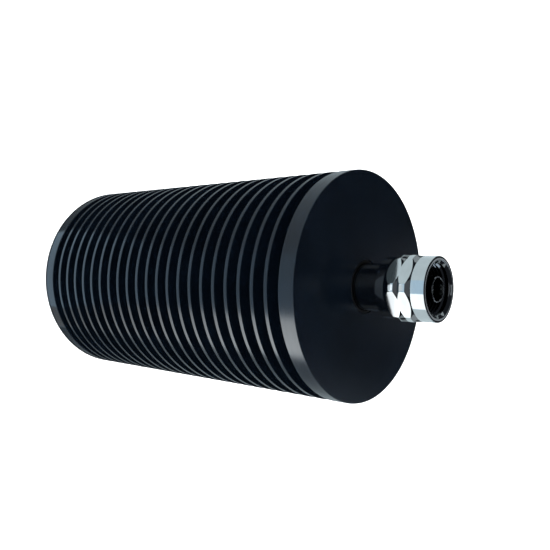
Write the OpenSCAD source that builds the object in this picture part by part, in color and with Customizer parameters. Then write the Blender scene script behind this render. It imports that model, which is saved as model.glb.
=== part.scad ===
// Dry radio-frequency load: a turned, finned heat sink with a coaxial plug on its front end.
// It stands on its rear disc, with the plug upwards along +Z.

/* [Heat sink] */
// Outside diameter of the end discs and the fins
body_d = 75; // [60:1:100]
// Length of the heat sink over both end discs
body_len = 129; // [90:1:200]
// Thickness of each end disc
end_t = 5.8; // [3:0.1:10]
// Number of fins between the end discs
fin_count = 21; // [15:1:30]
// Thickness of one fin
fin_t = 1.4; // [0.8:0.1:2.4]
// Diameter of the solid core at the bottom of the grooves
core_d = 38; // [28:1:50]
// Edge break on the end discs
disc_break = 0.4; // [0.1:0.1:1]
// Edge break on the fins
fin_break = 0.15; // [0.05:0.05:0.3]

/* [Load carrier] */
// Metal left behind the blind bore
bore_floor = 40; // [8:1:60]
// Diameter of the carrier rod
carrier_d = 14.4; // [12.5:0.1:15.5]
// Edge break at both ends of the carrier
carrier_break = 0.3; // [0.1:0.1:0.8]
// Width of the film resistor chip
chip_w = 6.4; // [4:0.1:8]
// Length of the film resistor chip
chip_len = 9.5; // [7:0.1:14]
// Thickness of the film resistor chip
chip_t = 1; // [0.6:0.1:1.6]
// Width of the ceramic lid on the chip
lid_w = 6; // [3:0.1:6.4]
// Length of the ceramic lid on the chip
lid_len = 5.6; // [3:0.1:6.5]
// Thickness of the ceramic lid on the chip
lid_t = 1; // [0.6:0.1:1.6]
// Width of the flat lead
lead_w = 2; // [1.2:0.1:2.8]
// Thickness of the flat lead
lead_t = 0.2; // [0.1:0.05:0.4]
// Length of lead soldered to the chip
lead_on_chip = 2.4; // [1.5:0.1:2.8]
// Air gap between the end of the pin and the chip
chip_gap = 0.5; // [0.3:0.1:1.5]

/* [Plug body] */
// Major diameter of the thread that holds the plug in the heat sink
shank_d = 15.9; // [15.7:0.1:20]
// Length of the threaded shank
shank_len = 14; // [9:0.5:22]
// Chamfer at the rear end of the shank
shank_break = 0.35; // [0.2:0.05:0.6]
// Thickness of the flange, which is sunk into the front face
flange_t = 1.2; // [0.8:0.1:2]
// Least width of the flange's seat outside the threaded hole
flange_seat = 0.5; // [0.4:0.05:2]
// Step of the neck, which the nut turns on, inside the coupling thread
neck_step = 0.39; // [0.3:0.01:1]
// Length of bare neck between the front face and the nut
neck_len = 8.8; // [5:0.1:14]
// Cross-section of the sealing ring round the neck, on the flange
seal_d = 1; // [0.8:0.1:1.6]

/* [Plug contacts] */
// Outside diameter of the outer contact
contact_d = 8; // [7.8:0.05:9]
// Bore of the outer contact
contact_bore_d = 7; // [6.4:0.05:7.4]
// Diameter of the outer contact's root inside the gasket
root_d = 8.8; // [8.2:0.1:10]
// Edge break on the outer contact
contact_break = 0.15; // [0.05:0.05:0.25]
// Length of outer contact in front of the gasket
contact_len = 9.4; // [8:0.1:10.4]
// Depth of the outer contact's edge below the rim of the nut
contact_recess = 0.4; // [0.1:0.1:2]
// Thickness of the gasket
gasket_t = 1.6; // [1:0.1:2]
// Edge break on the gasket
gasket_break = 0.25; // [0.1:0.05:0.4]
// Diameter of the insulating beads
bead_d = 10.16; // [8:0.02:11]
// Length of the front bead
front_bead_len = 8; // [5:0.5:12]
// Depth of the front bead below the front face of the heat sink
bead_sink = 0; // [0:0.5:4]
// Diameter of the centre conductor
conductor_d = 3.04; // [2.6:0.02:3.4]
// Diameter of the collar that holds the conductor between the beads
stop_d = 4.8; // [4:0.1:6.5]
// Thickness of that collar
stop_t = 1.2; // [0.8:0.1:2]
// Diameter of the contact pin
pin_d = 1.65; // [1.4:0.05:2]
// Depth of the pin's shoulder below the edge of the outer contact
pin_shoulder_depth = 5.3; // [4.5:0.1:7]
// Depth of the pin's tip below the edge of the outer contact
pin_tip_depth = 1.6; // [0.6:0.1:3]
// Length of conductor behind the rear bead
tail_len = 4; // [3:0.1:6]
// Length of the soldering flat on that tail
tail_flat_len = 2; // [1.2:0.1:2.6]

/* [Coupling nut] */
// Major diameter of the coupling thread
thread_d = 15.88; // [15:0.02:18]
// Metal between the thread and each flat of the hexagon
flat_wall = 2.06; // [1.6:0.02:3.5]
// Height turned off each corner of the hexagon
corner_cut = 0.65; // [0.2:0.05:1]
// Length of the round collar behind the hexagon
collar_len = 3; // [2.8:0.1:6]
// Wall of that collar outside the ring groove
collar_wall = 1.1; // [0.8:0.05:1.4]
// Slope of the chamfer behind the hexagon, in degrees
rear_slope = 30; // [20:1:50]
// Length of the rear corner lands
rear_land = 1.7; // [1:0.1:4]
// Width of the vee groove round the corners
vee_w = 2; // [1:0.1:3]
// Height of the vee's bottom above the flats
vee_lift = 0.12; // [0.05:0.01:0.3]
// Length of the front corner lands
front_land = 1.9; // [1:0.1:4]
// Slope of the chamfer in front of the hexagon, in degrees
front_slope = 45; // [30:1:60]
// Wall of the round sleeve in front of the hexagon
sleeve_wall = 2.06; // [1.6:0.02:2.6]
// Length of that sleeve
sleeve_len = 4.6; // [3:0.1:7]
// Depth of the groove between the hexagon and the sleeve
foot_depth = 0.2; // [0.1:0.05:0.4]
// Edge break on the outside of the nut
nut_break = 0.25; // [0.1:0.05:0.5]
// Length of the coupling thread with its mouth
thread_len = 8.8; // [7:0.1:9]
// Width of the countersink at the mouth of the thread
mouth_w = 0.81; // [0.4:0.01:1.2]
// Depth of the relief behind the coupling thread
relief_depth = 0.26; // [0.1:0.02:0.5]
// Distance of the ring groove from the rear of the nut
ring_setback = 1.3; // [0.8:0.1:1.5]
// Thickness of the snap ring
ring_t = 0.9; // [0.6:0.1:1.2]
// Height of the snap ring that stands in the nut
ring_proud = 0.75; // [0.5:0.05:1]
// Depth of the snap ring's seat in the neck
ring_bite = 0.65; // [0.4:0.05:0.8]
// Gap between the ends of the snap ring
ring_gap = 2; // [1:0.1:4]

/* [Clearances] */
// Radial clearance of the shank in its threaded hole
shank_clear = 0.05; // [0.02:0.01:0.1]
// Radial clearance of the carrier in its bore
carrier_clear = 0.05; // [0.02:0.01:0.1]
// Radial running clearance of the nut on the neck
run_clear = 0.05; // [0.02:0.01:0.1]
// Clearance of the snap ring in its seat
ring_clear = 0.05; // [0.02:0.01:0.1]
// Clearance of the snap ring in the nut's groove
ring_run = 0.15; // [0.1:0.01:0.25]
// Clearance of the gasket round its root and inside the edge of the neck
gasket_clear = 0.08; // [0.05:0.01:0.15]
// Clearance round the sealing ring
seal_clear = 0.05; // [0.02:0.01:0.1]
// Radial clearance of the flange in the front face
flange_clear = 0.05; // [0.02:0.01:0.1]
// Radial clearance of the beads in the plug and on the conductor
bead_clear = 0.03; // [0.01:0.01:0.06]
// Clearance on each side of the chip in its channel
chip_clear = 0.5; // [0.2:0.1:1]
// Clearance below and behind the conductor's tail
tail_clear = 1.5; // [0.8:0.1:2]
// Clearance at the ends of the lead and the lid
lead_clear = 0.1; // [0.05:0.05:0.3]

/* [Hidden] */
$fn = 128;

// Overhang of a cutter past the face that it opens
past = 1;
// Step in degrees of the turned nose on the pin
nose_step = 15;
// Number of flats on the nut
nut_sides = 6;

// Heat sink: the grooves share the length that the discs and the fins leave
face_z = body_len;
groove_w = (body_len - 2 * end_t - fin_count * fin_t) / (fin_count + 1);
fin_pitch = fin_t + groove_w;
body_r = body_d / 2;
core_r = core_d / 2;

// Bore for the plug and the carrier
shank_r = shank_d / 2;
shank_z = face_z - shank_len;
hole_r = shank_r + shank_clear;
carrier_r = carrier_d / 2;
bore_r = carrier_r + carrier_clear;

// Plug body, and the counterbore in the front face for its flange and the sealing ring
thread_r = thread_d / 2;
neck_r = thread_r - neck_step;
gland_w = seal_d + 2 * seal_clear;
gland_r = max(neck_r + gland_w, hole_r + flange_seat);
flange_r = gland_r - flange_clear;
flange_top_z = face_z - gland_w;
flange_z = flange_top_z - flange_t;
contact_r = contact_d / 2;
contact_bore_r = contact_bore_d / 2;
root_r = root_d / 2;
bead_r = bead_d / 2;

// Snap ring and the two grooves that it joins
nut_z = face_z + neck_len;
ring_z = nut_z + ring_setback;
ring_slot = ring_t + 2 * ring_clear;
ring_seat_r = neck_r - ring_bite;
ring_r = neck_r + ring_proud;
nut_groove_r = ring_r + ring_run;

// Coupling nut, from its rear end to its rim
collar_r = nut_groove_r + collar_wall;
mouth_r = thread_r + mouth_w;
flat_r = thread_r + flat_wall;
land_r = flat_r / cos(180 / nut_sides) - corner_cut;
sleeve_r = thread_r + sleeve_wall;
foot_r = sleeve_r - foot_depth;
collar_z = nut_z + collar_len;
rear_land_z = collar_z + (land_r - collar_r) / tan(rear_slope);
vee_z = rear_land_z + rear_land;
front_land_z = vee_z + vee_w;
front_edge_z = front_land_z + front_land;
foot_z = front_edge_z + (land_r - foot_r) / tan(front_slope);
rim_z = foot_z + sleeve_len;
vee_r = flat_r + vee_lift;
nut_bore_r = neck_r + run_clear;
relief_r = max(thread_r, nut_bore_r) + relief_depth;
thread_z = rim_z - thread_len;
nut_groove_z = ring_z + ring_clear - ring_run;
nut_groove_w = ring_t + 2 * ring_run;
relief_z = nut_groove_z + nut_groove_w + ring_setback;

// Contacts, from the edge of the outer contact inwards
contact_z = rim_z - contact_recess;
gasket_top_z = contact_z - contact_len;
gasket_z = gasket_top_z - gasket_t;
pin_shoulder_z = contact_z - pin_shoulder_depth;
pin_tip_z = contact_z - pin_tip_depth;
conductor_r = conductor_d / 2;
stop_z = face_z - bead_sink;
bead_z = stop_z + front_bead_len;
tail_z = shank_z - tail_len;
tail_flat_z = tail_z + tail_flat_len;

// Chip and the channel that it lies in
chip_z = tail_z - chip_gap - chip_len;
channel_w = chip_w + 2 * chip_clear;
channel_z = chip_z - tail_clear;
pocket_z = tail_z - chip_gap / 2;
pocket_depth = conductor_r + tail_clear;
lead_top_z = tail_flat_z - lead_clear;
lead_z = tail_z - chip_gap - lead_on_chip;
lid_z = lead_z - lead_clear - lid_len;

// Edge of a disc between two heights, with both corners broken
function disc_edge(r, z0, z1, edge) = [[r - edge, z0], [r, z0 + edge], [r, z1 - edge], [r - edge, z1]];

// Height of the lower side of a fin
function fin_z(i) = end_t + groove_w + i * fin_pitch;

// Outline of one fin, starting and ending at the core
function fin_outline(z) = concat(
    [[core_r, z]],
    disc_edge(body_r, z, z + fin_t, fin_break),
    [[core_r, z + fin_t]]
);

// Ring with a square section and broken edges
module ring(r0, r1, z0, z1, edge) {
    rotate_extrude()
        polygon([
            [r0, z0 + edge], [r0 + edge, z0], [r1 - edge, z0], [r1, z0 + edge],
            [r1, z1 - edge], [r1 - edge, z1], [r0 + edge, z1], [r0, z1 - edge]
        ]);
}

// Straight tube between two heights
module tube(r0, r1, z0, z1) {
    rotate_extrude()
        polygon([[r0, z0], [r1, z0], [r1, z1], [r0, z1]]);
}

// Finned body, turned from one bar, with a stepped blind bore from the front
module heat_sink() {
    front_z = face_z - end_t;
    color([0.07, 0.075, 0.09])
        rotate_extrude()
            polygon(concat(
                [[0, 0]],
                disc_edge(body_r, 0, end_t, disc_break),
                [[core_r, end_t]],
                [for (i = [0 : fin_count - 1]) each fin_outline(fin_z(i))],
                [[core_r, front_z]],
                disc_edge(body_r, front_z, face_z, disc_break),
                [
                    [gland_r, face_z], [gland_r, flange_z], [hole_r, flange_z],
                    [hole_r, shank_z], [bore_r, shank_z], [bore_r, bore_floor], [0, bore_floor]
                ]
            ));
}

// Copper rod that carries the chip in a milled channel and leads its heat to the bore
module load_carrier() {
    channel_len = shank_z + past - channel_z;
    pocket_len = shank_z + past - pocket_z;
    color([0.72, 0.45, 0.3])
        difference() {
            rotate_extrude()
                polygon(concat(
                    [[0, bore_floor]],
                    disc_edge(carrier_r, bore_floor, shank_z, carrier_break),
                    [[0, shank_z]]
                ));
            translate([-channel_w / 2, -chip_t, channel_z])
                cube([channel_w, carrier_r + chip_t + past, channel_len]);
            translate([-channel_w / 2, -pocket_depth, pocket_z])
                cube([channel_w, carrier_r + pocket_depth + past, pocket_len]);
        }
}

// Ceramic chip with the resistive film, soldered to the floor of the channel
module chip_substrate() {
    color([0.9, 0.89, 0.85])
        translate([-chip_w / 2, -chip_t, chip_z])
            cube([chip_w, chip_t, chip_len]);
}

// Ceramic lid over the film
module chip_lid() {
    color([0.96, 0.96, 0.94])
        translate([-lid_w / 2, 0, lid_z])
            cube([lid_w, lid_t, lid_len]);
}

// Flat lead from the chip to the flat on the conductor's tail
module chip_lead() {
    color([0.85, 0.85, 0.84])
        translate([-lead_w / 2, 0, lead_z])
            cube([lead_w, lead_t, lead_top_z - lead_z]);
}

// Sealing ring round the neck, in the counterbore's corner and level with the front face
module body_seal() {
    color([0.08, 0.08, 0.08])
        translate([0, 0, face_z - gland_w / 2])
            rotate_extrude()
                translate([gland_r - gland_w / 2, 0])
                    circle(d = seal_d);
}

// Turned plug body: shank, sunk flange, neck and outer contact in one piece
module connector_body() {
    color([0.78, 0.78, 0.77])
        rotate_extrude()
            polygon([
                [bead_r, shank_z], [shank_r - shank_break, shank_z], [shank_r, shank_z + shank_break],
                [shank_r, flange_z], [flange_r, flange_z], [flange_r, flange_top_z], [neck_r, flange_top_z],
                [neck_r, ring_z], [ring_seat_r, ring_z],
                [ring_seat_r, ring_z + ring_slot], [neck_r, ring_z + ring_slot],
                [neck_r, gasket_z], [root_r, gasket_z], [root_r, gasket_top_z], [contact_r, gasket_top_z],
                [contact_r, contact_z - contact_break], [contact_r - contact_break, contact_z],
                [contact_bore_r, contact_z], [contact_bore_r, bead_z], [bead_r, bead_z]
            ]);
}

// Insulating bead between the conductor's collar and the carrier
module rear_bead() {
    color([0.95, 0.95, 0.93])
        tube(conductor_r + bead_clear, bead_r - bead_clear, shank_z, stop_z - stop_t);
}

// Insulating bead between the step in the plug's bore and the conductor's collar
module front_bead() {
    color([0.95, 0.95, 0.93])
        tube(conductor_r + bead_clear, bead_r - bead_clear, stop_z, bead_z);
}

// Centre conductor with its contact pin, collar and soldering flat
module centre_pin() {
    pin_r = pin_d / 2;
    nose_z = pin_tip_z - pin_r;
    color([0.76, 0.75, 0.72])
        difference() {
            rotate_extrude()
                polygon(concat(
                    [
                        [0, tail_z], [conductor_r, tail_z], [conductor_r, stop_z - stop_t],
                        [stop_d / 2, stop_z - stop_t], [stop_d / 2, stop_z], [conductor_r, stop_z],
                        [conductor_r, pin_shoulder_z], [pin_r, pin_shoulder_z]
                    ],
                    [for (a = [0 : nose_step : 90 - nose_step]) [pin_r * cos(a), nose_z + pin_r * sin(a)]],
                    [[0, pin_tip_z]]
                ));
            translate([-conductor_r - past, 0, tail_z - past])
                cube([conductor_d + 2 * past, conductor_r + past, tail_flat_len + past]);
        }
}

// Soft gasket that the mating connector closes on
module plug_gasket() {
    color([0.1, 0.1, 0.11])
        ring(root_r + gasket_clear, neck_r - gasket_clear, gasket_z, gasket_top_z, gasket_break);
}

// Split spring ring that holds the nut on the neck
module snap_ring() {
    color([0.6, 0.5, 0.35])
        difference() {
            tube(ring_seat_r + ring_clear, ring_r, ring_z + ring_clear, ring_z + ring_clear + ring_t);
            translate([0, -ring_gap / 2, ring_z])
                cube([ring_r + past, ring_gap, ring_slot]);
        }
}

// Coupling nut, turned with collar, lands, vee groove and sleeve, then milled to a hexagon
module coupling_nut() {
    flat_w = 2 * land_r;
    color([0.8, 0.8, 0.79])
        difference() {
            rotate_extrude()
                polygon([
                    [nut_bore_r, nut_z], [collar_r - nut_break, nut_z], [collar_r, nut_z + nut_break],
                    [collar_r, collar_z], [land_r, rear_land_z], [land_r, vee_z],
                    [vee_r, vee_z + vee_w / 2], [land_r, front_land_z], [land_r, front_edge_z],
                    [foot_r, foot_z], [sleeve_r, foot_z + foot_depth],
                    [sleeve_r, rim_z - nut_break], [sleeve_r - nut_break, rim_z],
                    [mouth_r, rim_z], [thread_r, rim_z - mouth_w], [thread_r, thread_z],
                    [relief_r, thread_z], [relief_r, relief_z], [nut_bore_r, relief_z],
                    [nut_bore_r, nut_groove_z + nut_groove_w], [nut_groove_r, nut_groove_z + nut_groove_w],
                    [nut_groove_r, nut_groove_z], [nut_bore_r, nut_groove_z]
                ]);
            for (i = [0 : nut_sides - 1])
                rotate(i * 360 / nut_sides)
                    translate([flat_r, -flat_w / 2, collar_z])
                        cube([flat_w, flat_w, foot_z - collar_z]);
        }
}

heat_sink();
load_carrier();
chip_substrate();
chip_lid();
chip_lead();
body_seal();
connector_body();
rear_bead();
front_bead();
centre_pin();
plug_gasket();
snap_ring();
coupling_nut();
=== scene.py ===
"""Dry radio-frequency load: a black finned heat sink with a plug and a coupling nut, dressed around its CAD frame."""
import math

import bmesh
import bpy
from bpy.props import FloatProperty, FloatVectorProperty, IntProperty, PointerProperty
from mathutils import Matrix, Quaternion, Vector


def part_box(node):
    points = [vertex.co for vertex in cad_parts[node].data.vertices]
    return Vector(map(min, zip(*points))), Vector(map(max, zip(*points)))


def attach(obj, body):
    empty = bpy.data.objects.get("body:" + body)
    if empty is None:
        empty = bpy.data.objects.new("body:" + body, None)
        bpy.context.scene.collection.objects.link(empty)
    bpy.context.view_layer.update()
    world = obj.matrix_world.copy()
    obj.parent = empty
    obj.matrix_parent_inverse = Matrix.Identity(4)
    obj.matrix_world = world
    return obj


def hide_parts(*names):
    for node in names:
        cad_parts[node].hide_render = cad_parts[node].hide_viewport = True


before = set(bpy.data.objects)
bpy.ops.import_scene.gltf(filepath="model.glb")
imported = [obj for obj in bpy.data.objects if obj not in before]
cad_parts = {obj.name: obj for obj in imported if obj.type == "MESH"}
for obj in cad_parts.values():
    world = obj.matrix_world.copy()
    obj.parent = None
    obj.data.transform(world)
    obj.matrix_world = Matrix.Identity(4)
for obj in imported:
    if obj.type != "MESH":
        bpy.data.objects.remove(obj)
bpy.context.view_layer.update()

bl_info = {
    "name": "Finned load",
    "version": (1, 0, 0),
    "blender": (4, 5, 0),
    "location": "View3D > Sidebar > Finned load",
    "description": "Turns and finishes a finned radio-frequency load with a threaded plug",
    "category": "Object",
}

# One millimetre in the scene's metres
MM = 0.001
# Vertices closer than this are one vertex
MERGE = 1e-7
# Edges that turn by more than this are shaded as sharp
SHARP = math.radians(25)
# Share of its range that a noise texture mostly keeps to
NOISE_RANGE = (0.3, 0.7)

# Facets round the stage's pieces
STAGE_STEPS = 96
# Height of the reflector above the floor
REFLECTOR_LIFT = 0.2 * MM
# Height of the small cards above the front face
CARD_LIFT = 0.3 * MM
# Half the blur at the wedge's step and at the reflector's bend, in metres
STEP_BLUR = 0.01
BEND_BLUR = 0.1
# Half the blur at the edges of the wedge and of the front, in radians
EDGE_BLUR = 0.02
# Distances from the wedge's point between which the reflector's light changes
WEDGE_TURNS = (0.02, 0.06)
FRONT_TURNS = (0.03, 0.09)
FRONT_FADES = (0.02, 0.12)
KEY_RISES = (0.02, 0.18)
SIDES_RISE = (0.02, 0.15)
RIM_STARTS = (0.17, 0.182)
# Distances past the step between which the front's pale band ends
BAND_ENDS = (0.017, 0.023)
# Bearings, in radians, between which the upper side gives way to the lower
LOWER_STARTS = (0.0, 0.2)
# Ray depths between which a mirror image becomes one of a mirror image
ECHO_DEPTHS = (1.2, 1.8)
# Place of the blue front on the scale of tones from grey to the key
BLUE_TONE = 0.5

LOAD_BODY = "load_body"
NUT_BODY = "nut_body"

SINK_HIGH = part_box("heat_sink")[1]
NUT_LOW, NUT_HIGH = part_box("coupling_nut")
BODY_LOW, BODY_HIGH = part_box("connector_body")


def length(name, description, default):
    """A size in metres that the panel shows in the scene's length unit."""
    return FloatProperty(name=name, description=description, default=default, min=0.0, unit="LENGTH", precision=5)


def colour(name, description, default):
    """A linear colour."""
    return FloatVectorProperty(
        name=name, description=description, default=default, size=3, min=0.0, max=1.0, subtype="COLOR"
    )


def angle(name, description, degrees):
    """An angle that the panel shows in degrees."""
    return FloatProperty(name=name, description=description, default=math.radians(degrees), subtype="ANGLE")


def level(name, description, default):
    """A strength of light, or a share of one."""
    return FloatProperty(name=name, description=description, default=default, min=0.0)


def position(name, description, default):
    """A place in the scene."""
    return FloatVectorProperty(name=name, description=description, default=default, size=3, subtype="TRANSLATION")


class HeatSinkSizes(bpy.types.PropertyGroup):
    """Sizes of the turned, finned body."""

    radius: length("Radius", "Outside radius of the end discs and the fins", SINK_HIGH[0])
    height: length("Length", "Length over both end discs", SINK_HIGH[2])
    end_thickness: length("End disc", "Thickness of each end disc", 5.8 * MM)
    fin_count: IntProperty(name="Fins", description="Number of fins between the end discs", default=21, min=1)
    fin_thickness: length("Fin", "Thickness of one fin", 1.4 * MM)
    core_radius: length("Core", "Radius of the solid core between the fins", 19.0 * MM)
    disc_round: length("Disc edge", "Rounding of the end discs' edges", 0.45 * MM)
    fin_round: length("Fin edge", "Rounding of the fins' edges", 0.18 * MM)
    mouth_radius: length("Mouth", "Radius of the counterbore for the plug in the front face", 8.65 * MM)
    mouth_depth: length("Mouth depth", "Depth of that counterbore", 2.3 * MM)
    hole_radius: length("Hole", "Radius of the threaded hole", 8.0 * MM)
    hole_depth: length("Hole depth", "Depth of the threaded hole", 14.0 * MM)
    bore_radius: length("Bore", "Radius of the bore behind the threaded hole", 7.25 * MM)
    bore_floor: length("Bore floor", "Metal left behind the blind bore", 40.0 * MM)
    steps: IntProperty(name="Steps", description="Facets round the body", default=192, min=24)


class PlugSizes(bpy.types.PropertyGroup):
    """Sizes of the plug's body, from its shank to its outer contact."""

    shank_end: length("Shank end", "Height of the shank's rear end", BODY_LOW[2])
    shank_radius: length("Shank", "Radius of the shank in the heat sink", 7.95 * MM)
    shank_lead: length("Shank lead", "Chamfer at the shank's rear end", 0.35 * MM)
    flange_radius: length("Flange", "Radius of the flange that is sunk into the front face", 8.6 * MM)
    flange_depth: length("Flange depth", "Depth of the flange's seat below the face", 2.3 * MM)
    flange_height: length("Flange height", "Thickness of the flange", 1.2 * MM)
    neck_radius: length("Neck", "Radius of the neck that the nut turns on", 7.55 * MM)
    ring_seat: length("Ring seat", "Height of the snap ring's seat", 139.1 * MM)
    ring_seat_width: length("Ring seat width", "Width of that seat", 1.0 * MM)
    ring_seat_radius: length("Ring seat radius", "Radius of that seat's bottom", 6.9 * MM)
    gasket_seat: length("Gasket seat", "Height of the face that the gasket lies on", 143.03 * MM)
    gasket_height: length("Gasket height", "Height of the root inside the gasket", 1.6 * MM)
    root_radius: length("Root", "Radius of the outer contact's root", 4.4 * MM)
    contact_radius: length("Outer contact", "Outside radius of the outer contact", 4.0 * MM)
    contact_bore: length("Contact bore", "Bore radius of the outer contact", 3.5 * MM)
    contact_end: length("Contact edge", "Height of the outer contact's edge", BODY_HIGH[2])
    contact_round: length("Contact edge round", "Rounding of the outer contact's edge", 0.2 * MM)
    bead_radius: length("Bead", "Radius of the bore for the beads", 5.08 * MM)
    bead_stop: length("Bead stop", "Height of the step that stops the front bead", 137.0 * MM)
    steps: IntProperty(name="Steps", description="Facets round the plug", default=144, min=24)


class NutSizes(bpy.types.PropertyGroup):
    """Sizes of the coupling nut, from its rear end to its rim."""

    rear: length("Rear", "Height of the nut's rear end", NUT_LOW[2])
    rim: length("Rim", "Height of the nut's rim", NUT_HIGH[2])
    bore_radius: length("Bore", "Radius of the bore that turns on the neck", 7.6 * MM)
    ring_groove_radius: length("Ring groove", "Radius of the groove for the snap ring", 8.45 * MM)
    ring_groove_start: length("Ring groove start", "Distance of that groove from the rear end", 1.2 * MM)
    ring_groove_width: length("Ring groove width", "Width of that groove", 1.2 * MM)
    relief_start: length("Relief start", "Distance of the thread's relief from the rear end", 3.7 * MM)
    relief_radius: length("Relief", "Radius of the relief behind the thread", 8.2 * MM)
    collar_radius: length("Collar", "Radius of the round collar behind the hexagon", 9.55 * MM)
    collar_length: length("Collar length", "Length of that collar", 3.0 * MM)
    land_radius: length("Land", "Radius of the turned corners of the hexagon", 10.897 * MM)
    rear_chamfer: length("Rear chamfer", "Length of the chamfer behind the hexagon", 2.333 * MM)
    rear_land: length("Rear land", "Length of the rear corner lands", 1.7 * MM)
    vee_width: length("Vee", "Width of the vee groove round the corners", 2.0 * MM)
    vee_radius: length("Vee bottom", "Radius of the vee's bottom", 10.12 * MM)
    front_land: length("Front land", "Length of the front corner lands", 1.9 * MM)
    front_chamfer: length("Front chamfer", "Length of the chamfer in front of the hexagon", 1.097 * MM)
    foot_depth: length("Foot", "Depth of the groove between the hexagon and the sleeve", 0.2 * MM)
    sleeve_radius: length("Sleeve", "Radius of the round sleeve", 10.0 * MM)
    flat_distance: length("Flat", "Distance of each flat from the axis", 10.0 * MM)
    edge_round: length("Edge", "Rounding of the turned edges", 0.1 * MM)
    rim_round: length("Rim edge", "Rounding of the sleeve's outer edge", 0.2 * MM)
    mouth_round: length("Mouth edge", "Rounding of the rim's inner edge", 0.12 * MM)
    flat_round: length("Flat edge", "Rounding along the milled flats", 0.05 * MM)
    mouth_width: length("Mouth", "Width of the countersink at the mouth of the thread", 0.81 * MM)
    thread_radius: length("Thread", "Major radius of the coupling thread", 7.94 * MM)
    thread_length: length("Thread length", "Length of the coupling thread with its mouth", 8.8 * MM)
    thread_pitch: length("Pitch", "Pitch of the coupling thread", 1.058 * MM)
    thread_depth: length("Thread depth", "Height of the thread's ridge", 0.54 * MM)
    thread_crest: length("Thread crest", "Width of the flat on the ridge", 0.14 * MM)
    thread_root: length("Thread root", "Width of the ridge where it leaves the wall", 0.86 * MM)
    thread_sink: length("Thread sink", "Depth of the ridge's foot in the wall", 0.05 * MM)
    steps: IntProperty(name="Steps", description="Facets round the nut", default=180, min=24)
    thread_steps: IntProperty(name="Thread steps", description="Facets in one turn of the thread", default=96, min=24)
    sides: IntProperty(name="Sides", description="Number of flats on the hexagon", default=6, min=3)


class Finishes(bpy.types.PropertyGroup):
    """Colours of the load's finishes."""

    anodised: colour("Black anodising", "Colour of the anodised heat sink", (0.0021, 0.0046, 0.009))
    nickel: colour("Nickel plate", "Colour of the plug body and the nut", (0.56, 0.575, 0.58))
    contact: colour("Contact plate", "Colour of the plated centre contact", (0.62, 0.61, 0.58))
    bronze: colour("Spring bronze", "Colour of the snap ring", (0.42, 0.27, 0.13))
    gasket: colour("Gasket rubber", "Colour of the gasket", (0.012, 0.012, 0.013))
    seal: colour("Seal rubber", "Colour of the sealing ring", (0.003, 0.0034, 0.004))
    bead: colour("Bead plastic", "Colour of the insulating beads", (0.74, 0.74, 0.7))
    copper: colour("Carrier copper", "Colour of the carrier rod", (0.64, 0.28, 0.16))
    ceramic: colour("Chip ceramic", "Colour of the chip and its lid", (0.72, 0.71, 0.66))
    silver: colour("Lead silver", "Colour of the plated lead", (0.74, 0.73, 0.7))


class StageSettings(bpy.types.PropertyGroup):
    """Floor, light and camera."""

    floor_colour: colour("Floor", "Colour of the pale floor", (0.82, 0.82, 0.82))
    glow: level("Glow", "Light given by the floor and the tent", 1.04)
    floor_radius: length("Floor radius", "Radius of the floor", 1.6)
    tent_height: length("Tent", "Height of the pale tent round the floor", 1.7)
    reflector_low: length("Reflector hole", "Radius of the hole in the reflector round the load", 0.038)
    reflector_high: length("Reflector radius", "Radius of the reflector on the floor", 4.0)
    reflector_rise: length("Reflector rise", "Height and breadth of the reflector's raised edge", 1.0)
    rise_light: level("Rise light", "Share of its light that the raised edge gives", 0.3)
    echo_light: level("Echo light", "Share of the reflector's light in mirror images of mirror images", 0.15)
    grey_light: colour("Grey light", "Light of the reflector's sides", (0.72, 0.85, 0.9))
    blue_light: colour("Blue light", "Light of the reflector's front", (0.58, 0.8, 0.98))
    key_light: colour("Key light", "Tone of the reflector's bright wedge", (0.92, 0.98, 1.0))
    wedge_point: position("Wedge point", "Point that the bright wedge widens from", (0.003, -0.0265, 0.0))
    wedge_step: length("Wedge step", "Distance from that point where the wedge gets wider", 0.225)
    wedge_start_low: angle("Wedge start low", "Bearing of the wedge's start beside the load", 48)
    wedge_start_near: angle("Wedge start near", "Bearing of the wedge's start before the step", 33)
    wedge_start_far: angle("Wedge start far", "Bearing of the wedge's start past the step", 19)
    wedge_end_near: angle("Wedge end near", "Bearing of the wedge's end before the step", 76)
    wedge_end_far: angle("Wedge end far", "Bearing of the wedge's end past the step", 79)
    front_start_low: angle("Front start low", "Bearing of the blue front's start beside the load", -72)
    front_start: angle("Front start", "Bearing of the blue front's start away from the load", -31)
    front_low: level("Front low", "Strength of the blue front beside the load", 1.7)
    front_far: level("Front far", "Strength of the blue front away from the load", 1.0)
    key_near: level("Key near", "Strength of the key beside the load", 0.6)
    key_far: level("Key far", "Strength of the key before the step", 7.2)
    key_past: level("Key past", "Strength of the key past the step", 1.9)
    side_low: level("Side low", "Strength of the sides beside the load", 0.25)
    side_near: level("Side near", "Strength of the sides before the step", 0.66)
    side_far: level("Side far", "Strength of the sides past the step", 0.97)
    rim_share: level("Rim share", "Share of the side light that the lower end of the front rim mirrors", 0.52)
    rim_start: angle("Rim start", "Bearing up to which that share holds", 95)
    rim_end: angle("Rim end", "Bearing from which the side light is whole again", 135)
    ambient: colour("Ambient", "Colour of the dim light all round", (0.014, 0.016, 0.02))
    light_target: position("Light target", "Point that the lights face", (0.0, 0.0, 0.13))
    lens: FloatProperty(name="Lens", description="Focal length in millimetres", default=42.14, min=1.0)
    camera_place: position("Camera", "Place of the camera", (0.0, -0.17743, 0.24018))
    camera_target: position("Target", "Point that the camera looks at", (-0.00297, 0.0, 0.09048))
    camera_roll: angle("Roll", "Turn of the camera that lays the upright load level in the picture", 91.56)


# Meshes

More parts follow.
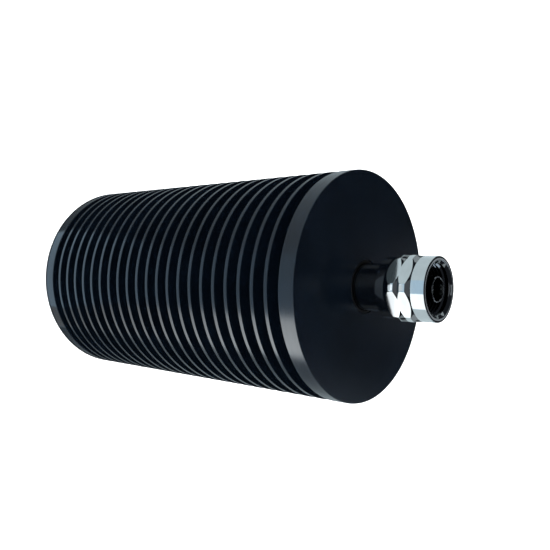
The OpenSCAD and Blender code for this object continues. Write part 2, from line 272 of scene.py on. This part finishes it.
def turned(outline, steps, closed=True):
    """A bmesh of an outline turned about Z. Each point is a radius, a height and the rounding of its corner."""
    bm = bmesh.new()
    corners = [bm.verts.new((r, 0.0, z)) for r, z, _ in outline]
    ends = corners[1:] + corners[:1] if closed else corners[1:]
    for pair in zip(corners, ends):
        bm.edges.new(pair)
    for size in sorted({rounding for _, _, rounding in outline if rounding}):
        same = [v for v, (_, _, rounding) in zip(corners, outline) if rounding == size]
        bmesh.ops.bevel(
            bm, geom=same, offset=size, segments=3, profile=0.5, affect="VERTICES", material=-1,
            clamp_overlap=False
        )
    bmesh.ops.spin(
        bm, geom=bm.verts[:] + bm.edges[:], cent=(0, 0, 0), axis=(0, 0, 1), angle=math.tau, steps=steps,
        use_merge=True
    )
    bmesh.ops.remove_doubles(bm, verts=bm.verts, dist=MERGE)
    bmesh.ops.recalc_face_normals(bm, faces=bm.faces)
    return bm


def mill_flats(bm, distance, low, high, sides, rounding):
    """Cut evenly spaced flats at a distance from the axis into the faces between two heights, and round their edges."""
    flats = []
    for i in range(sides):
        turn = math.tau * i / sides
        normal = Vector((math.cos(turn), math.sin(turn), 0.0))
        zone = [f for f in bm.faces if all(low - MERGE <= v.co.z <= high + MERGE for v in f.verts)]
        edges = {e for f in zone for e in f.edges}
        verts = {v for f in zone for v in f.verts}
        cut = bmesh.ops.bisect_plane(
            bm, geom=[*zone, *edges, *verts], dist=MERGE, plane_co=normal * distance, plane_no=normal,
            clear_outer=True
        )
        outline = [e for e in cut["geom_cut"] if isinstance(e, bmesh.types.BMEdge)]
        flats += bmesh.ops.contextual_create(bm, geom=outline)["faces"]
    if len(flats) != sides:
        raise RuntimeError(f"{len(flats)} flats were milled, and {sides} were wanted")
    bmesh.ops.remove_doubles(bm, verts=list({v for f in flats for v in f.verts}), dist=rounding)
    flats = [f for f in flats if f.is_valid]
    bmesh.ops.recalc_face_normals(bm, faces=bm.faces)
    edges = {e for f in flats for e in f.edges}
    bmesh.ops.bevel(
        bm, geom=list(edges), offset=rounding, segments=2, profile=0.5, affect="EDGES", material=-1,
        clamp_overlap=False
    )


def piece(name, bm, body, slot, finish, *nodes):
    """Make an object of a bmesh, with smooth turned faces and a finish, that rides on a body and replaces nodes."""
    mesh = bpy.data.meshes.new(name)
    bm.to_mesh(mesh)
    bm.free()
    mesh.shade_smooth()
    mesh.set_sharp_from_angle(angle=SHARP)
    mesh.materials.append(finish)
    obj = bpy.data.objects.new(name, mesh)
    bpy.context.scene.collection.objects.link(obj)
    weighted = obj.modifiers.new("Even_shading", "WEIGHTED_NORMAL")
    weighted.weight = 100
    weighted.keep_sharp = True
    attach(obj, body)
    if nodes:
        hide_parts(*nodes)
    return obj


# Finishes

def new_finish(name):
    """A material with a Principled shader, as the material, its node tree and the shader."""
    made = bpy.data.materials.new(name)
    made.use_nodes = True
    tree = made.node_tree
    return made, tree, tree.nodes["Principled BSDF"]


def noise(tree, vector, scale, detail=3.0):
    """A noise texture on a vector, as its value socket."""
    texture = tree.nodes.new("ShaderNodeTexNoise")
    texture.inputs["Scale"].default_value = scale
    texture.inputs["Detail"].default_value = detail
    tree.links.new(vector, texture.inputs["Vector"])
    return texture.outputs["Fac"]


def object_place(tree):
    """The place on the piece, from Object coordinates."""
    return tree.nodes.new("ShaderNodeTexCoord").outputs["Object"]


def turned_place(tree):
    """The place on a turned surface, as its radius and height, so that a pattern runs round the axis."""
    split = tree.nodes.new("ShaderNodeSeparateXYZ")
    tree.links.new(object_place(tree), split.inputs["Vector"])
    flat = tree.nodes.new("ShaderNodeCombineXYZ")
    tree.links.new(split.outputs["X"], flat.inputs["X"])
    tree.links.new(split.outputs["Y"], flat.inputs["Y"])
    radius = tree.nodes.new("ShaderNodeVectorMath")
    radius.operation = "LENGTH"
    tree.links.new(flat.outputs["Vector"], radius.inputs[0])
    joined = tree.nodes.new("ShaderNodeCombineXYZ")
    tree.links.new(radius.outputs["Value"], joined.inputs["X"])
    tree.links.new(split.outputs["Z"], joined.inputs["Z"])
    return joined.outputs["Vector"]


def ramp(tree, value, start, end, low, high):
    """A value that goes from one level to another between two limits."""
    mapped = tree.nodes.new("ShaderNodeMapRange")
    for name, number in (("From Min", start), ("From Max", end), ("To Min", low), ("To Max", high)):
        mapped.inputs[name].default_value = number
    tree.links.new(value, mapped.inputs["Value"])
    return mapped.outputs["Result"]


def spread(tree, value, low, high):
    """A noise value spread between two limits."""
    return ramp(tree, value, *NOISE_RANGE, low, high)


def combine(tree, operation, first, second):
    """The result of a Math node on two values, the second of which may be a number."""
    node = tree.nodes.new("ShaderNodeMath")
    node.operation = operation
    tree.links.new(first, node.inputs[0])
    if isinstance(second, float):
        node.inputs[1].default_value = second
    else:
        tree.links.new(second, node.inputs[1])
    return node.outputs["Value"]


def between(tree, value, low, high, full=1.0):
    """A level that goes from one socket's to another's as a value rises from nothing to full."""
    mapped = tree.nodes.new("ShaderNodeMapRange")
    mapped.inputs["From Max"].default_value = full
    for source, name in ((value, "Value"), (low, "To Min"), (high, "To Max")):
        tree.links.new(source, mapped.inputs[name])
    return mapped.outputs["Result"]


def tint(tree, value, base, dark, light):
    """A base colour that a noise value makes darker and lighter by two factors."""
    blend = tree.nodes.new("ShaderNodeValToRGB")
    stops = blend.color_ramp.elements
    stops[0].position, stops[1].position = NOISE_RANGE
    stops[0].color = (*(c * dark for c in base), 1.0)
    stops[1].color = (*(min(1.0, c * light) for c in base), 1.0)
    tree.links.new(value, blend.inputs["Fac"])
    return blend.outputs["Color"]


def bump(tree, value, strength, depth):
    """A bump of some depth in metres, as its normal socket."""
    raised = tree.nodes.new("ShaderNodeBump")
    raised.inputs["Strength"].default_value = strength
    raised.inputs["Distance"].default_value = depth
    tree.links.new(value, raised.inputs["Height"])
    return raised.outputs["Normal"]


def anodised_finish(base):
    """Satin black anodising over fine turning marks."""
    made, tree, shader = new_finish("Black_anodising")
    rings = turned_place(tree)
    cloud = noise(tree, object_place(tree), scale=55.0)
    sheen = noise(tree, rings, scale=900.0)
    marks = noise(tree, rings, scale=4000.0, detail=2.0)
    tree.links.new(tint(tree, cloud, base, dark=0.8, light=1.25), shader.inputs["Base Color"])
    tree.links.new(spread(tree, sheen, low=0.2, high=0.26), shader.inputs["Roughness"])
    tree.links.new(bump(tree, marks, strength=0.12, depth=0.01 * MM), shader.inputs["Normal"])
    shader.inputs["Specular IOR Level"].default_value = 0.42
    return made


def plated_finish(name, base, rough):
    """Bright plating over turned metal, with faint marks that run round the axis."""
    made, tree, shader = new_finish(name)
    rings = turned_place(tree)
    cloud = noise(tree, object_place(tree), scale=240.0)
    sheen = noise(tree, rings, scale=2500.0)
    marks = noise(tree, rings, scale=5000.0)
    tree.links.new(tint(tree, cloud, base, dark=0.94, light=1.05), shader.inputs["Base Color"])
    tree.links.new(spread(tree, sheen, *rough), shader.inputs["Roughness"])
    tree.links.new(bump(tree, marks, strength=0.03, depth=0.005 * MM), shader.inputs["Normal"])
    shader.inputs["Metallic"].default_value = 1.0
    return made


def moulded_finish(name, base, rough, grain):
    """Rubber, plastic or ceramic with a fine grain."""
    made, tree, shader = new_finish(name)
    place = object_place(tree)
    cloud = noise(tree, place, scale=400.0)
    speckle = noise(tree, place, scale=grain)
    tree.links.new(tint(tree, cloud, base, dark=0.85, light=1.12), shader.inputs["Base Color"])
    tree.links.new(spread(tree, speckle, *rough), shader.inputs["Roughness"])
    tree.links.new(bump(tree, speckle, strength=0.2, depth=0.02 * MM), shader.inputs["Normal"])
    return made


def finish_node(node, made):
    """Give a CAD node a finish in place of its plain one."""
    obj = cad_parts[node]
    obj.data.materials.clear()
    obj.data.materials.append(made)


# Operators

class LOAD_OT_heat_sink(bpy.types.Operator):
    """Turn the finned heat sink"""

    bl_idname = "finned_load.heat_sink"
    bl_label = "Heat sink"

    def execute(self, context):
        s = context.scene.heat_sink_sizes
        fin_space = s.height - 2 * s.end_thickness - s.fin_count * s.fin_thickness
        groove = fin_space / (s.fin_count + 1)

        def disc(low, high, rounding):
            return [(s.core_radius, low, 0.0), (s.radius, low, rounding), (s.radius, high, rounding),
                    (s.core_radius, high, 0.0)]

        outline = [(0.0, 0.0, 0.0), *disc(0.0, s.end_thickness, s.disc_round)[1:]]
        for i in range(s.fin_count):
            low = s.end_thickness + groove + i * (s.fin_thickness + groove)
            outline += disc(low, low + s.fin_thickness, s.fin_round)
        outline += disc(s.height - s.end_thickness, s.height, s.disc_round)[:-1]
        hole_floor = s.height - s.hole_depth
        outline += [
            (s.mouth_radius, s.height, 0.0), (s.mouth_radius, s.height - s.mouth_depth, 0.0),
            (s.hole_radius, s.height - s.mouth_depth, 0.0), (s.hole_radius, hole_floor, 0.0),
            (s.bore_radius, hole_floor, 0.0), (s.bore_radius, s.bore_floor, 0.0), (0.0, s.bore_floor, 0.0),
        ]
        finish = bpy.data.materials["Black_anodising"]
        bm = turned(outline, s.steps, closed=False)
        piece("heat_sink_turned", bm, LOAD_BODY, "black_anodised", finish, "heat_sink")
        return {"FINISHED"}


class LOAD_OT_plug_body(bpy.types.Operator):
    """Turn the plug's body with its outer contact"""

    bl_idname = "finned_load.plug_body"
    bl_label = "Plug body"

    def execute(self, context):
        s = context.scene.plug_sizes
        face = context.scene.heat_sink_sizes.height
        flange = face - s.flange_depth
        flange_top = flange + s.flange_height
        root_top = s.gasket_seat + s.gasket_height
        outline = [
            (s.bead_radius, s.shank_end, 0.0), (s.shank_radius - s.shank_lead, s.shank_end, 0.0),
            (s.shank_radius, s.shank_end + s.shank_lead, 0.0), (s.shank_radius, flange, 0.0),
            (s.flange_radius, flange, 0.0), (s.flange_radius, flange_top, 0.0), (s.neck_radius, flange_top, 0.0),
            (s.neck_radius, s.ring_seat, 0.0), (s.ring_seat_radius, s.ring_seat, 0.0),
            (s.ring_seat_radius, s.ring_seat + s.ring_seat_width, 0.0),
            (s.neck_radius, s.ring_seat + s.ring_seat_width, 0.0), (s.neck_radius, s.gasket_seat, 0.0),
            (s.root_radius, s.gasket_seat, 0.0), (s.root_radius, root_top, 0.0), (s.contact_radius, root_top, 0.0),
            (s.contact_radius, s.contact_end, s.contact_round), (s.contact_bore, s.contact_end, s.contact_round),
            (s.contact_bore, s.bead_stop, 0.0), (s.bead_radius, s.bead_stop, 0.0),
        ]
        finish = bpy.data.materials["Nickel_plate"]
        piece("plug_body_turned", turned(outline, s.steps), LOAD_BODY, "nickel_plate", finish, "connector_body")
        return {"FINISHED"}


class LOAD_OT_coupling_nut(bpy.types.Operator):
    """Turn and mill the coupling nut, and cut its thread"""

    bl_idname = "finned_load.coupling_nut"
    bl_label = "Coupling nut"

    def execute(self, context):
        s = context.scene.nut_sizes
        finish = bpy.data.materials["Nickel_plate"]
        thread = s.rim - s.thread_length
        self.turn_and_mill(s, thread, finish)
        self.cut_thread(s, thread, finish)
        return {"FINISHED"}

    def turn_and_mill(self, s, thread, finish):
        """The nut without its thread, turned from an outline that starts at the rear end of the bore."""
        collar = s.rear + s.collar_length
        rear_land = collar + s.rear_chamfer
        vee = rear_land + s.rear_land
        front_land = vee + s.vee_width
        front_edge = front_land + s.front_land
        foot = front_edge + s.front_chamfer
        foot_radius = s.sleeve_radius - s.foot_depth
        groove_low = s.rear + s.ring_groove_start
        groove_high = groove_low + s.ring_groove_width
        relief = s.rear + s.relief_start
        outline = [
            (s.bore_radius, s.rear, s.edge_round), (s.collar_radius, s.rear, s.rim_round),
            (s.collar_radius, collar, 0.0), (s.land_radius, rear_land, s.edge_round),
            (s.land_radius, vee, s.edge_round), (s.vee_radius, vee + s.vee_width / 2, 0.0),
            (s.land_radius, front_land, s.edge_round), (s.land_radius, front_edge, s.edge_round),
            (foot_radius, foot, 0.0), (s.sleeve_radius, foot + s.foot_depth, s.edge_round),
            (s.sleeve_radius, s.rim, s.rim_round), (s.thread_radius + s.mouth_width, s.rim, s.mouth_round),
            (s.thread_radius, s.rim - s.mouth_width, 0.0), (s.thread_radius, thread, 0.0),
            (s.relief_radius, thread, 0.0), (s.relief_radius, relief, 0.0), (s.bore_radius, relief, 0.0),
            (s.bore_radius, groove_high, 0.0), (s.ring_groove_radius, groove_high, 0.0),
            (s.ring_groove_radius, groove_low, 0.0), (s.bore_radius, groove_low, 0.0),
        ]
        bm = turned(outline, s.steps)
        mill_flats(bm, s.flat_distance, collar, foot, s.sides, s.flat_round)
        piece("coupling_nut_milled", bm, NUT_BODY, "nickel_plate", finish, "coupling_nut")

    def cut_thread(self, s, thread, finish):
        """The thread's ridge, swept up the bore from the thread's rear end."""
        foot_r = s.thread_radius + s.thread_sink
        crest_r = s.thread_radius - s.thread_depth
        low = thread + s.thread_root
        turns = math.floor((s.rim - s.mouth_width - low) / s.thread_pitch)
        steps = turns * s.thread_steps
        bm = bmesh.new()
        section = [(foot_r, -s.thread_root / 2), (crest_r, -s.thread_crest / 2),
                   (crest_r, s.thread_crest / 2), (foot_r, s.thread_root / 2)]
        start = bm.faces.new([bm.verts.new((r, 0.0, low + z)) for r, z in section])
        end = bmesh.ops.spin(
            bm, geom=[start, *start.edges, *start.verts], cent=(0, 0, 0), axis=(0, 0, 1),
            dvec=(0, 0, s.thread_pitch / s.thread_steps), angle=math.tau * turns, steps=steps
        )
        if not end["geom_last"]:
            raise RuntimeError("the coupling thread was not swept")
        bmesh.ops.recalc_face_normals(bm, faces=bm.faces)
        piece("coupling_thread", bm, NUT_BODY, "nickel_plate", finish)


class LOAD_OT_finishes(bpy.types.Operator):
    """Give every CAD node its finish"""

    bl_idname = "finned_load.finishes"
    bl_label = "Finishes"

    def execute(self, context):
        c = context.scene.load_finishes
        nickel = plated_finish("Nickel_plate", c.nickel, rough=(0.05, 0.09))
        bead = moulded_finish("Bead_plastic", c.bead, rough=(0.4, 0.5), grain=3000.0)
        ceramic = moulded_finish("Chip_ceramic", c.ceramic, rough=(0.5, 0.65), grain=5000.0)
        finishes = {
            "heat_sink": anodised_finish(c.anodised),
            "connector_body": nickel,
            "centre_pin": plated_finish("Contact_plate", c.contact, rough=(0.1, 0.18)),
            "plug_gasket": moulded_finish("Gasket_rubber", c.gasket, rough=(0.6, 0.75), grain=4000.0),
            "snap_ring": plated_finish("Spring_bronze", c.bronze, rough=(0.25, 0.35)),
            "body_seal": moulded_finish("Seal_rubber", c.seal, rough=(0.5, 0.65), grain=4000.0),
            "front_bead": bead,
            "rear_bead": bead,
            "load_carrier": plated_finish("Carrier_copper", c.copper, rough=(0.25, 0.38)),
            "chip_substrate": ceramic,
            "chip_lid": ceramic,
            "chip_lead": plated_finish("Lead_silver", c.silver, rough=(0.2, 0.3)),
            "coupling_nut": nickel,
        }
        for node, made in finishes.items():
            finish_node(node, made)
        return {"FINISHED"}


class LOAD_OT_stage(bpy.types.Operator):
    """Lay the floor, light the load and set the camera"""

    bl_idname = "finned_load.stage"
    bl_label = "Stage"

    def execute(self, context):
        scene = context.scene
        s = scene.stage_settings
        scene.view_settings.view_transform = "Standard"
        self.lay_floor(s)
        self.light(scene, s)
        self.set_camera(scene, s)
        return {"FINISHED"}

    def lay_floor(self, s):
        """A floor in a pale tent, and a reflector on the floor that only mirror images show: a glowing sheet, no lamp,
        that paints the light the load mirrors.
        """
        edge = (s.floor_radius, 0.0)
        floor = self.backdrop("floor", [(0.0, 0.0), edge], self.glowing_finish("Pale_floor", s))
        tent = self.backdrop("tent", [edge, (s.floor_radius, s.tent_height)], self.glowing_finish("Pale_tent", s))
        hole = (s.reflector_low, REFLECTOR_LIFT)
        bend = (s.reflector_high, REFLECTOR_LIFT)
        brim = (s.reflector_high + s.reflector_rise, REFLECTOR_LIFT + s.reflector_rise)
        reflector = self.backdrop("reflector", [hole, bend, brim], self.glowing_reflector_finish(s))
        floor.visible_glossy = False
        tent.visible_glossy = False
        # The reflector is a sheet that glows though it is no lamp; hidden from the camera, diffuse light and shadows,
        # it shows only as painted reflections
        reflector.visible_camera = False
        reflector.visible_diffuse = False
        reflector.visible_shadow = False

    def backdrop(self, name, points, finish):
        """A stage piece turned from an open line of points, each a radius and a height."""
        bm = turned([(*point, 0.0) for point in points], STAGE_STEPS, closed=False)
        mesh = bpy.data.meshes.new(name)
        bm.to_mesh(mesh)
        bm.free()
        mesh.materials.append(finish)
        obj = bpy.data.objects.new(name, mesh)
        bpy.context.scene.collection.objects.link(obj)
        return obj

    def glowing_finish(self, name, s):
        """A pale finish that gives its own even light."""
        made, tree, shader = new_finish(name)
        cloud = noise(tree, object_place(tree), scale=3.0)
        tree.links.new(tint(tree, cloud, s.floor_colour, dark=0.99, light=1.01), shader.inputs["Base Color"])
        shader.inputs["Roughness"].default_value = 0.9
        shader.inputs["Specular IOR Level"].default_value = 0.0
        shader.inputs["Emission Color"].default_value = (1.0, 1.0, 1.0, 1.0)
        shader.inputs["Emission Strength"].default_value = s.glow
        return made

    def glowing_reflector_finish(self, s):
        """Glow that changes round the load, painted light for mirror images only: grey sides, a blue front and a bright
        wedge, the key.
        """
        made, tree, shader = new_finish("Reflector")
        away, bearing = self.from_wedge_point(tree, s)
        step = (s.wedge_step - STEP_BLUR, s.wedge_step + STEP_BLUR)

        def over(limits, low, high):
            """A level that changes with the distance from the wedge's point."""
            return ramp(tree, away, *limits, low, high)

        def past(edge, before, after):
            """A level that changes where the bearing passes an edge."""
            return ramp(tree, combine(tree, "SUBTRACT", bearing, edge), -EDGE_BLUR, EDGE_BLUR, before, after)

        # Shares of the wedge and of the blue front, which is pale in a band past the step
        wedge_start = combine(
            tree, "MAXIMUM", over(step, s.wedge_start_near, s.wedge_start_far),
            over(WEDGE_TURNS, s.wedge_start_low, s.wedge_start_far)
        )
        before_end = past(over(step, s.wedge_end_near, s.wedge_end_far), 1.0, 0.0)
        wedge = combine(tree, "MULTIPLY", past(wedge_start, 0.0, 1.0), before_end)
        front = past(over(FRONT_TURNS, s.front_start_low, s.front_start), 0.0, 1.0)
        band_end = [step[1] + distance for distance in BAND_ENDS]
        pale = combine(tree, "MINIMUM", over(step, BLUE_TONE, 1.0), over(band_end, 1.0, BLUE_TONE))
        front = combine(tree, "MULTIPLY", combine(tree, "MULTIPLY", front, pale), before_end)

        # Strengths of the key, the sides and the front, which all change beside the load
        key = combine(
            tree, "MINIMUM", over(step, s.key_far, s.key_past), over(KEY_RISES, s.key_near, s.key_far)
        )
        side = combine(
            tree, "MINIMUM", over(step, s.side_near, s.side_far), over(SIDES_RISE, s.side_low, s.side_far)
        )
        side = combine(tree, "MULTIPLY", side, self.rim_dimming(tree, s, bearing, over, step))
        base = between(tree, front, side, over(FRONT_FADES, s.front_low, s.front_far), full=BLUE_TONE)
        strength = between(tree, wedge, base, key)

        # Less light from the raised edge, and little in mirror images of mirror images, such as the nut's in the face
        bend = (s.reflector_high - BEND_BLUR, s.reflector_high + BEND_BLUR)
        strength = combine(tree, "MULTIPLY", strength, over(bend, 1.0, s.rise_light))
        depth = tree.nodes.new("ShaderNodeLightPath").outputs["Ray Depth"]
        strength = combine(tree, "MULTIPLY", strength, ramp(tree, depth, *ECHO_DEPTHS, 1.0, s.echo_light))

        tone = tree.nodes.new("ShaderNodeValToRGB")
        stops = tone.color_ramp.elements
        stops[0].color = (*s.grey_light, 1.0)
        stops[1].color = (*s.key_light, 1.0)
        stops.new(BLUE_TONE).color = (*s.blue_light, 1.0)
        tree.links.new(combine(tree, "MAXIMUM", front, wedge), tone.inputs["Fac"])
        shader.inputs["Base Color"].default_value = (0.0, 0.0, 0.0, 1.0)
        shader.inputs["Specular IOR Level"].default_value = 0.0
        tree.links.new(tone.outputs["Color"], shader.inputs["Emission Color"])
        tree.links.new(strength, shader.inputs["Emission Strength"])
        return made

    def from_wedge_point(self, tree, s):
        """The distance from the wedge's point, and the bearing from it, which is 0 towards the camera's side."""
        shifted = tree.nodes.new("ShaderNodeVectorMath")
        shifted.operation = "SUBTRACT"
        shifted.inputs[1].default_value = s.wedge_point
        tree.links.new(object_place(tree), shifted.inputs[0])
        split = tree.nodes.new("ShaderNodeSeparateXYZ")
        tree.links.new(shifted.outputs["Vector"], split.inputs["Vector"])
        away = tree.nodes.new("ShaderNodeVectorMath")
        away.operation = "LENGTH"
        tree.links.new(shifted.outputs["Vector"], away.inputs[0])
        towards = combine(tree, "MULTIPLY", split.outputs["Y"], -1.0)
        return away.outputs["Value"], combine(tree, "ARCTAN2", split.outputs["X"], towards)

    def rim_dimming(self, tree, s, bearing, over, step):
        """A share of the side light, smaller only where the lower end of the front disc's rim mirrors it."""
        share = ramp(tree, bearing, s.rim_start, s.rim_end, s.rim_share, 1.0)
        upper = ramp(tree, bearing, *LOWER_STARTS, 1.0, 0.0)
        for whole in (upper, over(RIM_STARTS, 1.0, 0.0), over(step, 0.0, 1.0)):
            share = combine(tree, "MAXIMUM", share, whole)
        return share

    def light(self, scene, s):
        """A dim room, small cards for the nut's rear end, and soft lights round the load."""
        world = bpy.data.worlds.new("Dim_room")
        world.use_nodes = True
        world.node_tree.nodes["Background"].inputs["Color"].default_value = (*s.ambient, 1.0)
        scene.world = world
        self.face_card(
            "lower_card", place=(0.0277, -0.022), size=(0.016, 0.0056), radiance=1.7, tone=(0.94, 0.98, 1.0), turn=-30
        )
        self.face_card(
            "corner_card", place=(0.0, -0.0363), size=(0.014, 0.0042), radiance=1.0, tone=(0.85, 0.94, 1.0)
        )
        self.face_card(
            "upper_card", place=(-0.0268, -0.0213), size=(0.016, 0.0078), radiance=0.06, tone=(0.7, 0.92, 1.0), turn=30
        )
        self.face_card(
            "collar_card", place=(0.0, -0.0265), size=(0.044, 0.009), radiance=0.038, tone=(0.7, 0.85, 1.0)
        )
        for name, place, size, radiance, tone in (
            ("fill_light", (-0.5, -0.8, 0.5), (1.3, 0.4), 0.25, (0.8, 0.92, 1.0)),
            ("mouth_light", (0.0, -0.3, 1.27), (0.5, 0.1), 0.3, (0.85, 0.94, 1.0)),
            ("upper_light", (0.0, -0.6, 0.95), (0.8, 0.6), 0.1, (0.85, 0.92, 1.0)),
            ("back_light", (0.0, 1.1, 0.67), (0.2, 0.12), 0.36, (0.86, 0.93, 1.0)),
            ("low_light", (0.5, 1.0, 0.85), (0.5, 0.6), 0.6, (0.7, 0.85, 1.0)),
            ("left_light", (-0.8, 0.4, 0.53), (0.5, 0.3), 0.4, (0.84, 0.95, 1.0)),
            ("right_light", (0.8, 0.4, 0.53), (0.5, 0.3), 0.35, (0.84, 0.95, 1.0)),
        ):
            self.softbox(name, place, s.light_target, size, radiance, tone)

    def face_card(self, name, place, size, radiance, tone, turn=0):
        """A small card on the front face, facing up, that the hexagon mirrors."""
        x, y = place
        z = SINK_HIGH[2] + CARD_LIFT
        self.softbox(name, (x, y, z), (x, y, 2 * z), size, radiance, tone, math.radians(turn))

    def softbox(self, name, place, target, size, radiance, tone, turn=0.0):
        """An area light of some radiance that faces a target."""
        data = bpy.data.lights.new(name, "AREA")
        data.shape = "RECTANGLE"
        data.size, data.size_y = size
        data.energy = radiance * math.pi * size[0] * size[1]
        data.color = tone
        lamp = bpy.data.objects.new(name, data)
        lamp.location = place
        lamp.rotation_euler = self.aim(place, target, turn)
        lamp.visible_camera = False
        bpy.context.scene.collection.objects.link(lamp)

    def aim(self, place, target, turn):
        """The rotation that faces a target, with a turn about the line of sight."""
        facing = (Vector(target) - Vector(place)).to_track_quat("-Z", "Y")
        return (facing @ Quaternion((0.0, 0.0, 1.0), turn)).to_euler()

    def set_camera(self, scene, s):
        """A camera that gives the photograph's view."""
        data = bpy.data.cameras.new("camera")
        data.lens = s.lens
        data.sensor_width = 36.0
        data.clip_start = 0.01
        camera = bpy.data.objects.new("camera", data)
        camera.location = s.camera_place
        camera.rotation_euler = self.aim(s.camera_place, s.camera_target, s.camera_roll)
        scene.collection.objects.link(camera)
        scene.camera = camera


class LOAD_PT_panel(bpy.types.Panel):
    """Lists the load's pieces and their sizes"""

    bl_idname = "LOAD_PT_panel"
    bl_label = "Finned load"
    bl_space_type = "VIEW_3D"
    bl_region_type = "UI"
    bl_category = "Finned load"

    def draw(self, context):
        for operator in OPERATORS:
            self.layout.operator(operator.bl_idname)
        for name, group in GROUPS.items():
            box = self.layout.box()
            for key in group.__annotations__:
                box.prop(getattr(context.scene, name), key)


OPERATORS = (LOAD_OT_finishes, LOAD_OT_heat_sink, LOAD_OT_plug_body, LOAD_OT_coupling_nut, LOAD_OT_stage)
GROUPS = {
    "heat_sink_sizes": HeatSinkSizes,
    "plug_sizes": PlugSizes,
    "nut_sizes": NutSizes,
    "load_finishes": Finishes,
    "stage_settings": StageSettings,
}
CLASSES = (*GROUPS.values(), *OPERATORS, LOAD_PT_panel)


def register():
    """Add the classes and the scene's groups of sizes."""
    for cls in CLASSES:
        bpy.utils.register_class(cls)
    for name, group in GROUPS.items():
        setattr(bpy.types.Scene, name, PointerProperty(type=group))


def unregister():
    """Take them away again."""
    for name in GROUPS:
        delattr(bpy.types.Scene, name)
    for cls in reversed(CLASSES):
        bpy.utils.unregister_class(cls)


def main():
    """Build the load on its stage."""
    register()
    bpy.ops.finned_load.finishes()
    bpy.ops.finned_load.heat_sink()
    bpy.ops.finned_load.plug_body()
    bpy.ops.finned_load.coupling_nut()
    bpy.ops.finned_load.stage()


if __name__ == "__main__":
    main()
